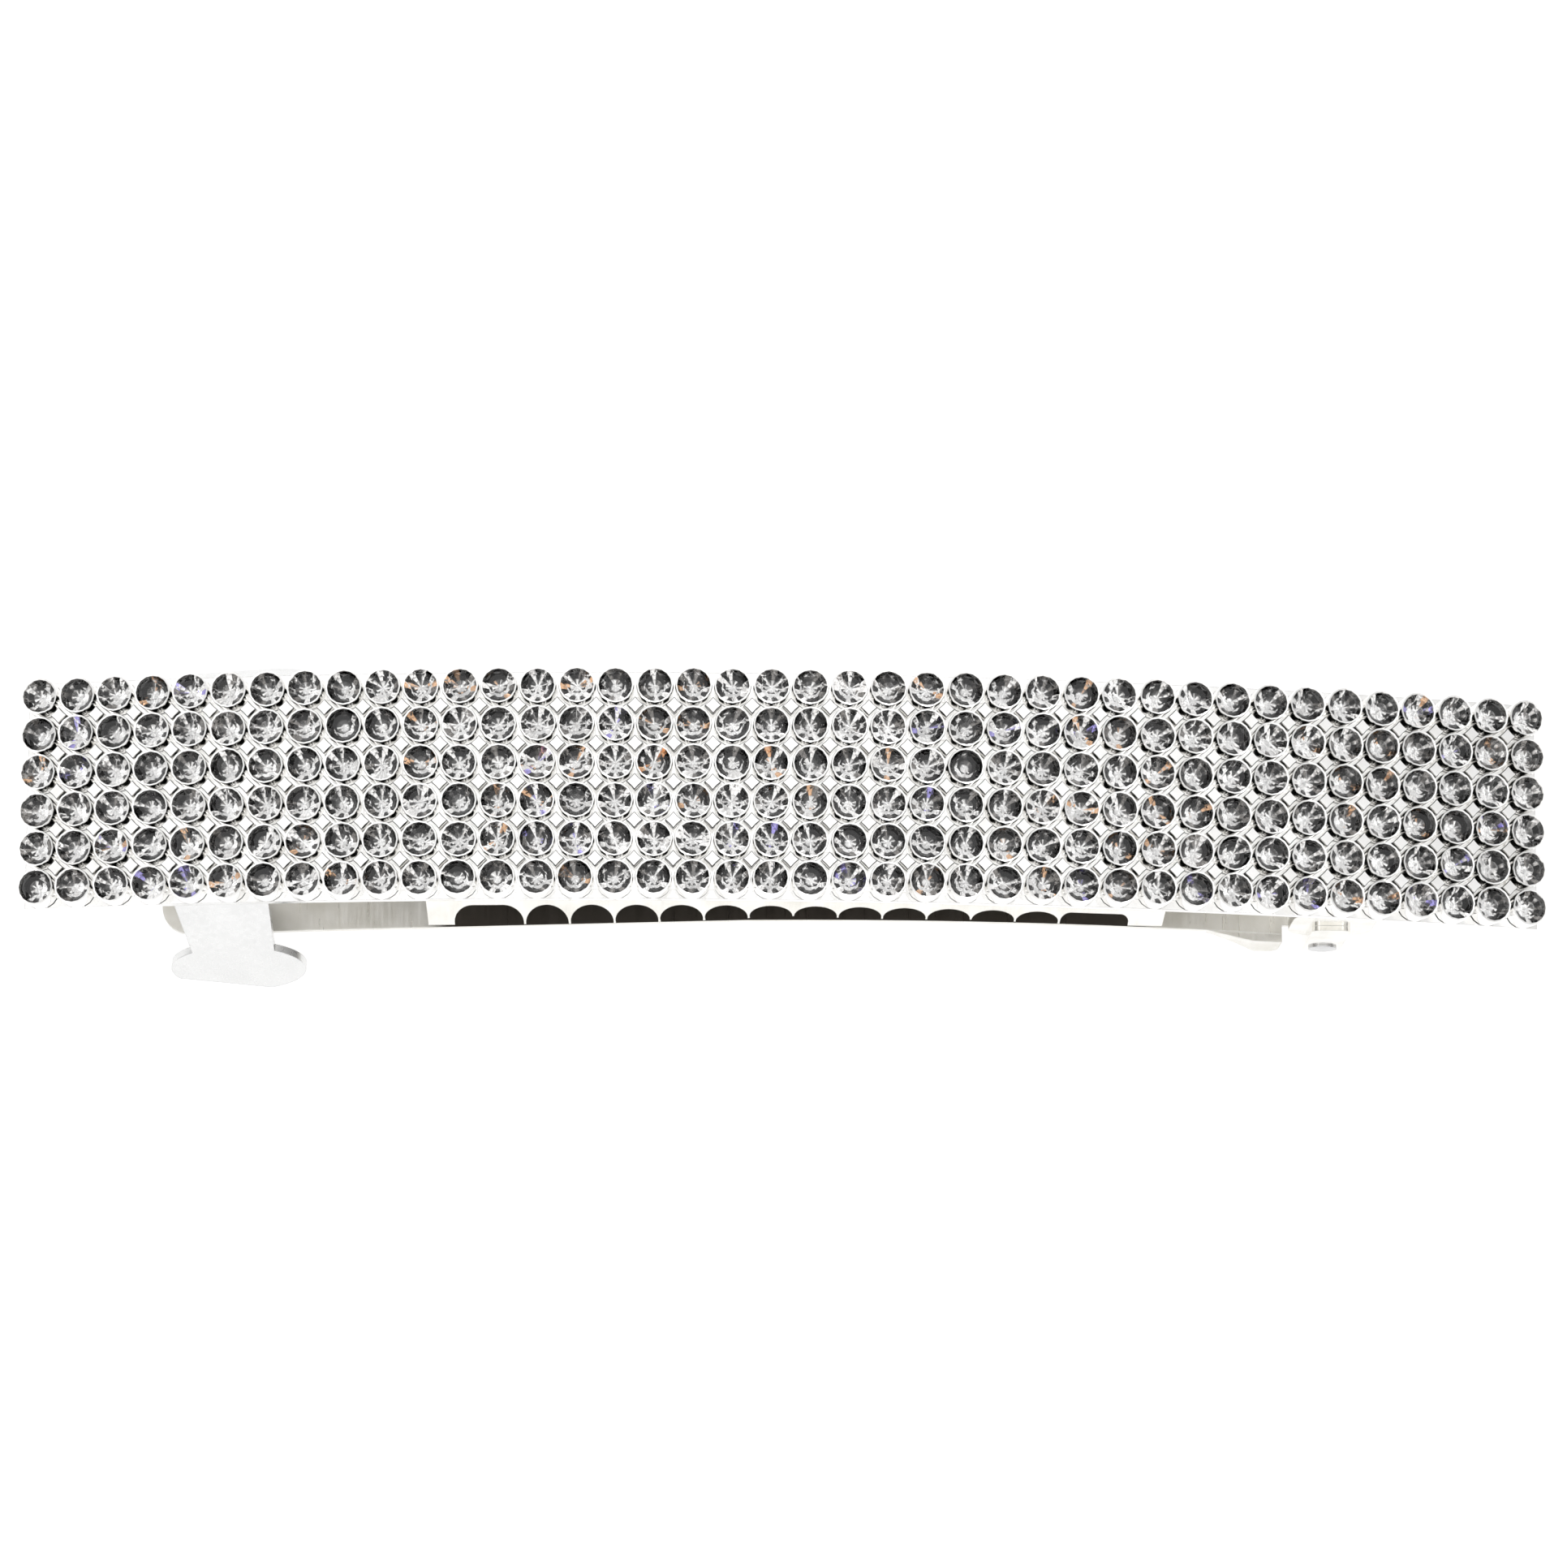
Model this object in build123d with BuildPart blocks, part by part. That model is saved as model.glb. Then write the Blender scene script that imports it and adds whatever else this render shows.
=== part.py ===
from build123d import *
from math import asin, atan2, cos, degrees, radians, sin, sqrt, tan
import os

# Rhinestone hair clip: a bent bar of bezel-set stones on a French clip.
# X runs along the bar, Y across it and +Z out of the jewelled face. The clip lies face
# up on its catch wings and hinge lugs, and the origin is the middle of its footprint.
# "Depth" is measured down from the stones' table plane, at the crest of the bar.

# ---------------------------------------------------------------- driving sizes, mm
OVERALL_HEIGHT = 15.3          # rest plane to the table plane at the crest
BEND_RADIUS = 176.0            # of the table plane, bowed towards the face

# Field of stones
ROWS = 6
COLUMNS = 40
PITCH = 2.3                    # cup to cup, both ways
SETTING_WANDER = 0.015         # how far a cup sits off the grid
SETTING_TILT = 0.5             # degrees a cup leans at most
GOLDEN_TURN = 137.50776        # degrees, spreads the stones' clocking

# Stone (a chaton with eight crown facets and eight pavilion facets)
STONE_RADIUS = 1.02            # axis to the girdle's corners
TABLE_RADIUS = 0.62
CULET_RADIUS = 0.10
CROWN_HEIGHT = 0.36
PAVILION_HEIGHT = 0.90

# Bezel cup
CUP_WALL = 0.06
STONE_CLEARANCE = 0.02         # stone's corners to the cup's bore
LIP_RISE = 0.14                # cup's rim above the girdle
CUP_FLOOR = 0.14
SEAT_CLEARANCE = 0.01          # culet to the cup's floor
LINK_WIDTH = 1.0               # strip that joins a row of cups
LINK_THICKNESS = 0.18
LINK_DROP = 0.08               # link's back below the cups' floors

# Backing plate and adhesive
PLATE_MARGIN = 0.10            # plate edge inside the outer cups' rims
PLATE_THICKNESS = 0.6
ADHESIVE_THICKNESS = 0.15
ADHESIVE_WIDTH = 9.0
ADHESIVE_LENGTH = 66.0

# Clip base
BASE_SHEET = 0.5
BASE_LEFT_X = -37.2
BASE_RIGHT_X = 35.3
BASE_HALF_WIDTH = 5.5          # where the side flanges fold
FLANGE_SPLAY = 35.0            # degrees off the web's normal
FLANGE_LEFT_X = -21.4
FLANGE_RIGHT_X = 22.6
TOOTH_COUNT = 13
TOOTH_FIRST_X = -15.4
TOOTH_PITCH = 2.63
TOOTH_LAND = 0.10              # flat left on a tooth's tip
ARCH_TOP_DEPTH = 3.95          # of the hollows between teeth, behind the local face
TOOTH_LONG_DEPTH = 5.25        # tooth tips at the catch end
TOOTH_SHORT_DEPTH = 4.60       # tooth tips from the middle to the hinge end
TOOTH_EVEN_X = 0.0             # where the long teeth have run down to short ones
RELIEF_LENGTH = 4.1            # long cut-out at each end of the teeth

# Hinge
HINGE_X = 32.85
PIN_RADIUS = 0.6
PIN_HEAD_RADIUS = 0.85
PIN_HEAD_THICKNESS = 0.12
RUNNING_CLEARANCE = 0.05       # pin in the arm's knuckle
CHEEK_INNER_Y = 5.95           # inner faces of the base's hinge cheeks
CHEEK_SHEET = 0.5
CHEEK_LENGTH = 5.0
CHEEK_DEPTH = 12.1
CHEEK_ROUND = 2.0
LUG_LENGTH = 2.3
LUG_THICKNESS = 0.8
LUG_TOP_DEPTH = 8.9
LUG_ROUND = 0.6
SIDE_CLEARANCE = 0.15          # arm's tongue between the cheeks

# Closing arm
ARM_SHEET = 0.5
ARM_TIP_X = -37.0
ARM_TIP_DEPTH = 14.92
ARM_KNEE_X = -4.0
ARM_KNEE_DEPTH = 10.8
ARM_BEND_RADIUS = 95.0         # of the back face, from the knee to the hinge
ARM_TIP_HALF_WIDTH = 6.8
ARM_HALF_WIDTH = 6.35
ARM_TAPER_X = -2.0             # the taper from the tip ends here
ARM_CORNER_ROUND = 1.6
KNUCKLE_WALL = 0.5
WINDOW_LEFT_X = -35.8
WINDOW_RIGHT_X = -29.8
WINDOW_HALF_WIDTH = 5.0
WINDOW_ROUND = 0.8
EAR_LEFT_X = 24.3
EAR_RIGHT_X = 30.2             # the arm narrows here to run between the cheeks
EAR_DEPTH = 15.1
EAR_WAIST_X = 27.0             # where the ear's hollow lower edge is lowest
EAR_WAIST_DEPTH = 13.0
EAR_FOOT = 1.4                 # flat along the ear's lower edge
EAR_ROUND = 0.7
EAR_FLARE_LEFT_X = 25.6        # the ear leaves the arm's edge here
EAR_FLARE_RIGHT_X = 28.4       # and stands out by its full thickness here

# Catch: sizes from here to the hook are measured square to the base at CATCH_X
CATCH_X = -33.9
WING_SHEET = 0.5
WING_ROOT_Y = 4.85
WING_ROLL_RADIUS = 0.42        # rolled root that the wing turns on
WING_FOLD_Y = 8.3
WING_FOLD_HEIGHT = 6.2
WING_TIP_Y = 9.9
WING_TIP_HEIGHT = 9.9
WING_FOLD_ROUND = 1.2
WING_NECK_WIDTH = 5.0
WING_ROOT_WIDTH = 6.2
WING_HEAD_WIDTH = 8.2
WING_HEAD_HEIGHT = 4.5
HOOK_WIDTH = 3.0
HOOK_SHEET = 0.4
HOOK_HEIGHT = 9.1
BARB_REACH = 0.25
BARB_THICKNESS = 0.5
LATCH_CLEARANCE = 0.05         # barb to the arm's rail, at rest
SADDLE_THICKNESS = 0.4
SADDLE_LENGTH = 6.2
ROLL_CLEARANCE = 0.12          # wing's rolled root to the saddle and the base

# Bow spring
BOW_SHEET = 0.3
BOW_HALF_WIDTH = 2.6
BOW_LEFT_X = -26.0
BOW_RIGHT_X = 27.6
BOW_PIVOT_X = 24.0
BOW_LIFT = 1.0                 # degrees that the free end stands off the base
BOW_CLEARANCE = 0.10
BOW_ROOT_GAP = 0.15            # spring's end to its riveted foot
BOW_RIVET_X = 26.0

# Rivets
RIVET_RADIUS = 0.8
RIVET_HEAD_RADIUS = 1.4
RIVET_HEAD_THICKNESS = 0.35
RIVET_HEAD_TAPER = 45.0
RIVET_RECESS = 0.02            # shank short of the adhesive, and head off the curved sheet

# ------------------------------------------------------------------- derived sizes
BEND_AXIS_Z = OVERALL_HEIGHT - BEND_RADIUS
BEND_AXIS = Axis((0, 0, BEND_AXIS_Z), (0, 1, 0))
STONE_HEIGHT = CROWN_HEIGHT + PAVILION_HEIGHT
CUP_BORE = STONE_RADIUS + STONE_CLEARANCE
CUP_RADIUS = CUP_BORE + CUP_WALL
CUP_BACK = STONE_HEIGHT + SEAT_CLEARANCE + CUP_FLOOR
PLATE_FRONT = CUP_BACK + LINK_DROP
PLATE_BACK = PLATE_FRONT + PLATE_THICKNESS
BASE_FRONT = PLATE_BACK + ADHESIVE_THICKNESS
BASE_BACK = BASE_FRONT + BASE_SHEET
END_ANGLE = ((COLUMNS - 1) / 2 * PITCH + CUP_RADIUS - PLATE_MARGIN) / BEND_RADIUS
BAR_HALF_LENGTH = (BEND_RADIUS - PLATE_BACK) * sin(END_ANGLE)
BAR_HALF_WIDTH = ROWS * PITCH / 2 - PLATE_MARGIN
LUG_OUTER_Y = CHEEK_INNER_Y + LUG_THICKNESS
KNUCKLE_BORE = PIN_RADIUS + RUNNING_CLEARANCE
KNUCKLE_RADIUS = KNUCKLE_BORE + KNUCKLE_WALL
TONGUE_HALF_WIDTH = CHEEK_INNER_Y - SIDE_CLEARANCE
ARM_SLOPE = atan2(ARM_TIP_DEPTH - ARM_KNEE_DEPTH, ARM_KNEE_X - ARM_TIP_X)
ARM_CREST_X = ARM_KNEE_X + ARM_BEND_RADIUS * sin(ARM_SLOPE)
ARM_CENTRE_Z = OVERALL_HEIGHT - ARM_KNEE_DEPTH - ARM_BEND_RADIUS * cos(ARM_SLOPE)
ARM_END_X = HINGE_X - KNUCKLE_BORE / 2
ARM_BEND = degrees(ARM_SLOPE + asin((ARM_END_X - ARM_CREST_X) / ARM_BEND_RADIUS))
THROUGH = 40.0                 # a cut that passes right through

os.makedirs("parts", exist_ok=True)


def height(depth):
    """Z of a depth behind the crest of the table plane."""
    return OVERALL_HEIGHT - depth


def bar_angle(x, depth):
    """Angle round the bend axis, in degrees, of a point at X on one layer of the bar."""
    return degrees(asin(x / (BEND_RADIUS - depth)))


def layer_height(x, depth):
    """Z at X of the bent layer that lies at this depth behind the face."""
    radius = BEND_RADIUS - depth
    return BEND_AXIS_Z + radius * cos(asin(x / radius))


def section_plane(x, depth):
    """Plane across the bar at X: its x is Y and its y points out of the face."""
    angle = radians(bar_angle(x, depth))
    return Plane(
        origin=(0, 0, BEND_AXIS_Z),
        x_dir=(0, 1, 0),
        z_dir=(cos(angle), 0, -sin(angle)),
    )


def bar_arc(from_x, to_x, depth):
    """Degrees of bend between two places along one layer of the bar."""
    return bar_angle(to_x, depth) - bar_angle(from_x, depth)


def layer_plane(x, depth):
    """Plane lying on one layer of the bar at X, facing out of the face."""
    angle = radians(bar_angle(x, depth))
    return Plane(
        origin=(x, 0, layer_height(x, depth)),
        x_dir=(cos(angle), 0, -sin(angle)),
        z_dir=(sin(angle), 0, cos(angle)),
    )


def tooth_depth(x):
    """Depth of the toothed edge behind the local face: long teeth give way to short."""
    share = (TOOTH_EVEN_X - x) / (TOOTH_EVEN_X - TOOTH_FIRST_X)
    return TOOTH_SHORT_DEPTH + (TOOTH_LONG_DEPTH - TOOTH_SHORT_DEPTH) * min(1, max(0, share))


def arm_back(x):
    """Z of the closing arm's back face between its knee and the hinge."""
    return ARM_CENTRE_Z + sqrt(ARM_BEND_RADIUS**2 - (x - ARM_CREST_X) ** 2)


def seat(column, row):
    """Place of one setting: on the table plane, facing out, with its small wander."""
    number = column + COLUMNS * row
    arc = (column - (COLUMNS - 1) / 2) * PITCH
    angle = arc / BEND_RADIUS
    across = ((ROWS - 1) / 2 - row) * PITCH
    wander_x = SETTING_WANDER * sin(number * 2.4)
    wander_y = SETTING_WANDER * sin(number * 3.7 + 1)
    tangent = Vector(cos(angle), 0, -sin(angle))
    outward = Vector(sin(angle), 0, cos(angle))
    centre = Vector(0, across + wander_y, BEND_AXIS_Z) + outward * BEND_RADIUS + tangent * wander_x
    lean_x = SETTING_TILT * sin(number * 1.9)
    lean_y = SETTING_TILT * sin(number * 2.9 + 2)
    upright = Plane(origin=centre, x_dir=tangent, z_dir=outward).location
    return upright * Location((0, 0, 0), (lean_x, lean_y, 0))


def clocked_seat(column, row):
    """Place of one stone: its setting, turned to the stone's own clocking."""
    turn = (column + COLUMNS * row) * GOLDEN_TURN % 45
    return seat(column, row) * Location((0, 0, 0), (0, 0, turn))


# --------------------------------------------------------------- one stone, one cup
with BuildPart() as stone:
    with BuildSketch(Plane.XY.offset(-CROWN_HEIGHT)):
        RegularPolygon(STONE_RADIUS, 8)
    with BuildSketch(Plane.XY):
        RegularPolygon(TABLE_RADIUS, 8)
    loft()
    with BuildSketch(Plane.XY.offset(-STONE_HEIGHT)):
        RegularPolygon(CULET_RADIUS, 8)
    with BuildSketch(Plane.XY.offset(-CROWN_HEIGHT)):
        RegularPolygon(STONE_RADIUS, 8)
    loft()

with BuildPart() as cup:
    with BuildSketch(Plane.XY.offset(-CUP_BACK)):
        Circle(CUP_RADIUS)
    extrude(amount=CUP_BACK - CROWN_HEIGHT + LIP_RISE)
    with BuildSketch(Plane.XY.offset(-STONE_HEIGHT - SEAT_CLEARANCE)):
        Circle(CUP_BORE)
    extrude(amount=STONE_HEIGHT, mode=Mode.SUBTRACT)

# --------------------------------------------------------------- rows of settings
link_half_length = COLUMNS * PITCH / 2 - CUP_RADIUS
for row in range(ROWS):
    across = ((ROWS - 1) / 2 - row) * PITCH

    with BuildPart() as cup_row:
        with BuildSketch(section_plane(-link_half_length, PLATE_FRONT)):
            with Locations((across, BEND_RADIUS - PLATE_FRONT + LINK_THICKNESS / 2)):
                Rectangle(LINK_WIDTH, LINK_THICKNESS)
        revolve(axis=BEND_AXIS, revolution_arc=2 * bar_angle(link_half_length, PLATE_FRONT))
        with Locations(*[seat(column, row) for column in range(COLUMNS)]):
            add(cup.part)
    cup_row.part.label = f"cup_row_{row + 1}"
    export_step(cup_row.part, f"parts/cup_row_{row + 1}.step")

    with BuildPart() as stone_row:
        with Locations(*[clocked_seat(column, row) for column in range(COLUMNS)]):
            add(stone.part)
    stone_row.part.label = f"stone_row_{row + 1}"
    export_step(stone_row.part, f"parts/stone_row_{row + 1}.step")

# ------------------------------------------------------- backing plate and adhesive
with BuildPart() as backing_plate:
    with BuildSketch(section_plane(-BAR_HALF_LENGTH, PLATE_BACK)):
        with Locations((0, BEND_RADIUS - (PLATE_FRONT + PLATE_BACK) / 2)):
            Rectangle(2 * BAR_HALF_WIDTH, PLATE_THICKNESS)
    revolve(axis=BEND_AXIS, revolution_arc=2 * bar_angle(BAR_HALF_LENGTH, PLATE_BACK))
backing_plate.part.label = "backing_plate"
export_step(backing_plate.part, "parts/backing_plate.step")

with BuildPart() as adhesive_bed:
    with BuildSketch(section_plane(-ADHESIVE_LENGTH / 2, BASE_FRONT)):
        with Locations((0, BEND_RADIUS - (PLATE_BACK + BASE_FRONT) / 2)):
            Rectangle(ADHESIVE_WIDTH, ADHESIVE_THICKNESS)
    revolve(axis=BEND_AXIS, revolution_arc=2 * bar_angle(ADHESIVE_LENGTH / 2, BASE_FRONT))
adhesive_bed.part.label = "adhesive_bed"
export_step(adhesive_bed.part, "parts/adhesive_bed.step")

# ------------------------------------------------------------------------ clip base
# Section of the toothed gutter: a flat web whose two flanges splay outwards.
splay = radians(FLANGE_SPLAY)
tip_y = BASE_HALF_WIDTH + (TOOTH_LONG_DEPTH - BASE_FRONT) * tan(splay)
inner_fold_y = BASE_HALF_WIDTH - BASE_SHEET * tan((radians(90) - splay) / 2)
cheek_outer_y = CHEEK_INNER_Y + CHEEK_SHEET
cheek_left_x = HINGE_X - CHEEK_LENGTH / 2
cheek_right_x = HINGE_X + CHEEK_LENGTH / 2
tooth_last_x = TOOTH_FIRST_X + (TOOTH_COUNT - 1) * TOOTH_PITCH
lowest_tooth_z = min(layer_height(x, TOOTH_LONG_DEPTH) for x in (FLANGE_LEFT_X, FLANGE_RIGHT_X))
trim_floor = lowest_tooth_z - 1
trim_places = [TOOTH_FIRST_X, TOOTH_EVEN_X, FLANGE_RIGHT_X / 2, FLANGE_RIGHT_X + 1]
HINGE_Z = arm_back(HINGE_X) + ARM_SHEET - KNUCKLE_RADIUS

with BuildPart() as clip_base:
    # web from the catch to the hinge
    with BuildSketch(section_plane(BASE_LEFT_X, BASE_BACK)):
        with Locations((0, BEND_RADIUS - (BASE_FRONT + BASE_BACK) / 2)):
            Rectangle(2 * inner_fold_y, BASE_SHEET)
    revolve(axis=BEND_AXIS, revolution_arc=bar_arc(BASE_LEFT_X, BASE_RIGHT_X, BASE_BACK))
    # splayed side flanges
    with BuildSketch(section_plane(FLANGE_LEFT_X, BASE_BACK)):
        with BuildLine():
            Polyline(
                (inner_fold_y - BASE_SHEET, BEND_RADIUS - BASE_FRONT),
                (BASE_HALF_WIDTH, BEND_RADIUS - BASE_FRONT),
                (tip_y, BEND_RADIUS - TOOTH_LONG_DEPTH),
                (tip_y - BASE_SHEET * cos(splay), BEND_RADIUS - TOOTH_LONG_DEPTH - BASE_SHEET * sin(splay)),
                (inner_fold_y, BEND_RADIUS - BASE_BACK),
                (inner_fold_y - BASE_SHEET, BEND_RADIUS - BASE_BACK),
                close=True,
            )
        make_face()
        mirror(about=Plane.YZ)
    revolve(axis=BEND_AXIS, revolution_arc=bar_arc(FLANGE_LEFT_X, FLANGE_RIGHT_X, BASE_BACK))
    # long teeth at the catch end run down to short ones
    with BuildSketch(Plane.XZ):
        with BuildLine():
            Polyline(
                *[(x, layer_height(x, tooth_depth(x))) for x in trim_places],
                (FLANGE_RIGHT_X + 1, trim_floor),
                (TOOTH_FIRST_X, trim_floor),
                close=True,
            )
        make_face()
    extrude(amount=THROUGH, both=True, mode=Mode.SUBTRACT)
    # arches between the teeth, and a long relief beyond the first and the last tooth
    with BuildSketch(Plane.XZ):
        for gap in range(TOOTH_COUNT - 1):
            x = TOOTH_FIRST_X + (gap + 0.5) * TOOTH_PITCH
            with Locations((x, layer_height(x, tooth_depth(x)))):
                Ellipse(
                    (TOOTH_PITCH - TOOTH_LAND) / 2,
                    tooth_depth(x) - ARCH_TOP_DEPTH,
                    rotation=-bar_angle(x, tooth_depth(x)),
                )
        for end_x, outward in ((TOOTH_FIRST_X, -1), (tooth_last_x, 1)):
            x = end_x + outward * (RELIEF_LENGTH + TOOTH_LAND) / 2
            relief_height = 2 * (tooth_depth(x) - ARCH_TOP_DEPTH)
            with Locations((x, layer_height(x, tooth_depth(x)))):
                RectangleRounded(
                    RELIEF_LENGTH,
                    relief_height,
                    0.45 * relief_height,
                    rotation=-bar_angle(x, tooth_depth(x)),
                )
    extrude(amount=THROUGH, both=True, mode=Mode.SUBTRACT)
    # wide end plate under the hinge
    with BuildSketch(section_plane(cheek_left_x, BASE_BACK)):
        with Locations((0, BEND_RADIUS - (BASE_FRONT + BASE_BACK) / 2)):
            Rectangle(2 * cheek_outer_y, BASE_SHEET)
    revolve(axis=BEND_AXIS, revolution_arc=bar_arc(cheek_left_x, cheek_right_x, BASE_BACK))
    # hinge cheeks folded down from it, each with a thicker lug round the pin
    with BuildSketch(Plane.XZ.offset(CHEEK_INNER_Y)) as cheek:
        with BuildLine():
            Polyline(
                (cheek_left_x, layer_height(cheek_left_x, BASE_FRONT)),
                (cheek_right_x, layer_height(cheek_right_x, BASE_FRONT)),
                (cheek_right_x, height(CHEEK_DEPTH)),
                (cheek_left_x, height(CHEEK_DEPTH)),
                close=True,
            )
        make_face()
        fillet(cheek.vertices().group_by(Axis.Z)[0], CHEEK_ROUND)
    extrude(amount=CHEEK_SHEET)
    with BuildSketch(Plane.XZ.offset(CHEEK_INNER_Y)) as lug:
        with Locations((HINGE_X, (height(LUG_TOP_DEPTH)) / 2)):
            Rectangle(LUG_LENGTH, height(LUG_TOP_DEPTH))
        fillet(lug.vertices().group_by(Axis.Z)[0], LUG_ROUND)
    extrude(amount=LUG_THICKNESS)
    mirror(about=Plane.XZ)
    # pin holes, then the holes for the catch and bow rivets
    with BuildSketch(Plane.XZ):
        with Locations((HINGE_X, HINGE_Z)):
            Circle(PIN_RADIUS)
    extrude(amount=THROUGH, both=True, mode=Mode.SUBTRACT)
    for rivet_x in (CATCH_X, BOW_RIVET_X):
        with BuildSketch(layer_plane(rivet_x, BASE_BACK)):
            Circle(RIVET_RADIUS)
        extrude(amount=BASE_SHEET, both=True, mode=Mode.SUBTRACT)
clip_base.part.label = "clip_base"
export_step(clip_base.part, "parts/clip_base.step")

# ------------------------------------------------------------------------ hinge pin
with BuildPart() as hinge_pin:
    with BuildSketch(Plane.XZ):
        with Locations((HINGE_X, HINGE_Z)):
            Circle(PIN_RADIUS)
    extrude(amount=LUG_OUTER_Y, both=True)
    for side in (1, -1):
        with BuildSketch(Plane.XZ.offset(side * LUG_OUTER_Y)):
            with Locations((HINGE_X, HINGE_Z)):
                Circle(PIN_HEAD_RADIUS)
        extrude(amount=side * PIN_HEAD_THICKNESS)
hinge_pin.part.label = "hinge_pin"
export_step(hinge_pin.part, "parts/hinge_pin.step")

# ---------------------------------------------------------------------- closing arm
with BuildPart() as closing_arm:
    # bent strip: straight from the tip to the knee, then one arc to the hinge
    with BuildSketch(Plane.XZ):
        with BuildLine():
            shank = Line((ARM_TIP_X, height(ARM_TIP_DEPTH)), (ARM_KNEE_X, height(ARM_KNEE_DEPTH)))
            JernArc(start=shank @ 1, tangent=shank % 1, radius=ARM_BEND_RADIUS, arc_size=-ARM_BEND)
            offset(amount=ARM_SHEET, side=Side.LEFT)
        make_face()
    extrude(amount=ARM_TIP_HALF_WIDTH, both=True)
    # plan outline: tapered strip, then the narrow tongue to the hinge
    with BuildSketch(Plane.XY) as plan:
        with BuildLine():
            Polyline(
                (ARM_TIP_X, ARM_TIP_HALF_WIDTH),
                (ARM_TAPER_X, ARM_HALF_WIDTH),
                (EAR_RIGHT_X, ARM_HALF_WIDTH),
                (EAR_RIGHT_X, TONGUE_HALF_WIDTH),
                (HINGE_X, TONGUE_HALF_WIDTH),
                (HINGE_X, -TONGUE_HALF_WIDTH),
                (EAR_RIGHT_X, -TONGUE_HALF_WIDTH),
                (EAR_RIGHT_X, -ARM_HALF_WIDTH),
                (ARM_TAPER_X, -ARM_HALF_WIDTH),
                (ARM_TIP_X, -ARM_TIP_HALF_WIDTH),
                close=True,
            )
        make_face()
        fillet(plan.vertices().group_by(Axis.X)[0], ARM_CORNER_ROUND)
    extrude(amount=OVERALL_HEIGHT, mode=Mode.INTERSECT)
    # knuckle rolled round the pin
    with BuildSketch(Plane.XZ):
        with Locations((HINGE_X, HINGE_Z)):
            Circle(KNUCKLE_RADIUS)
    extrude(amount=TONGUE_HALF_WIDTH, both=True)
    with BuildSketch(Plane.XZ):
        with Locations((HINGE_X, HINGE_Z)):
            Circle(KNUCKLE_BORE)
    extrude(amount=ARM_TIP_HALF_WIDTH, both=True, mode=Mode.SUBTRACT)
    # ears folded down beside the hinge end
    for side in (1, -1):
        with BuildSketch(Plane.XZ.offset(side * ARM_HALF_WIDTH)) as ear:
            with BuildLine():
                ThreePointArc(
                    (EAR_LEFT_X, arm_back(EAR_LEFT_X)),
                    (EAR_WAIST_X, height(EAR_WAIST_DEPTH)),
                    (EAR_RIGHT_X - EAR_FOOT, height(EAR_DEPTH)),
                )
                Polyline(
                    (EAR_RIGHT_X - EAR_FOOT, height(EAR_DEPTH)),
                    (EAR_RIGHT_X, height(EAR_DEPTH)),
                    (EAR_RIGHT_X, arm_back(EAR_RIGHT_X) + ARM_SHEET),
                    (EAR_LEFT_X, arm_back(EAR_LEFT_X) + ARM_SHEET),
                    (EAR_LEFT_X, arm_back(EAR_LEFT_X)),
                )
            make_face()
            fillet(ear.vertices().group_by(Axis.Z)[0].sort_by(Axis.X)[-1], EAR_ROUND)
        extrude(amount=side * ARM_SHEET)
        # the ear flares out of the arm's edge
        edge_y = side * ARM_HALF_WIDTH
        with BuildSketch(Plane.XY):
            with BuildLine():
                Polyline(
                    (EAR_LEFT_X - ARM_SHEET, edge_y),
                    (EAR_FLARE_LEFT_X, edge_y),
                    (EAR_FLARE_RIGHT_X, edge_y + side * ARM_SHEET),
                    (EAR_FLARE_RIGHT_X, edge_y + side * 2 * ARM_SHEET),
                    (EAR_LEFT_X - ARM_SHEET, edge_y + side * 2 * ARM_SHEET),
                    close=True,
                )
            make_face()
        extrude(amount=OVERALL_HEIGHT, mode=Mode.SUBTRACT)
    # window that drops over the catch hooks
    with BuildSketch(Plane.XY):
        with Locations(((WINDOW_LEFT_X + WINDOW_RIGHT_X) / 2, 0)):
            RectangleRounded(WINDOW_RIGHT_X - WINDOW_LEFT_X, 2 * WINDOW_HALF_WIDTH, WINDOW_ROUND)
    extrude(amount=OVERALL_HEIGHT, mode=Mode.SUBTRACT)
closing_arm.part.label = "closing_arm"
export_step(closing_arm.part, "parts/closing_arm.step")

# ----------------------------------------------------------------------- bow spring
# Its relaxed curve runs parallel to the base, then stands off it by BOW_LIFT.
bow_front = BASE_BACK + BOW_CLEARANCE
bow_back = bow_front + BOW_SHEET
with BuildPart() as bow_spring:
    with BuildSketch(section_plane(BOW_LEFT_X, bow_back)):
        with Locations((0, BEND_RADIUS - (bow_front + bow_back) / 2)):
            Rectangle(2 * BOW_HALF_WIDTH, BOW_SHEET)
    revolve(axis=BEND_AXIS, revolution_arc=bar_arc(BOW_LEFT_X, BOW_PIVOT_X, bow_back))
bow_pivot = Axis((BOW_PIVOT_X, 0, layer_height(BOW_PIVOT_X, bow_back)), (0, -1, 0))
bow_spring.part = bow_spring.part.rotate(bow_pivot, BOW_LIFT)
bow_spring.part.label = "bow_spring"
export_step(bow_spring.part, "parts/bow_spring.step")

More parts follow.
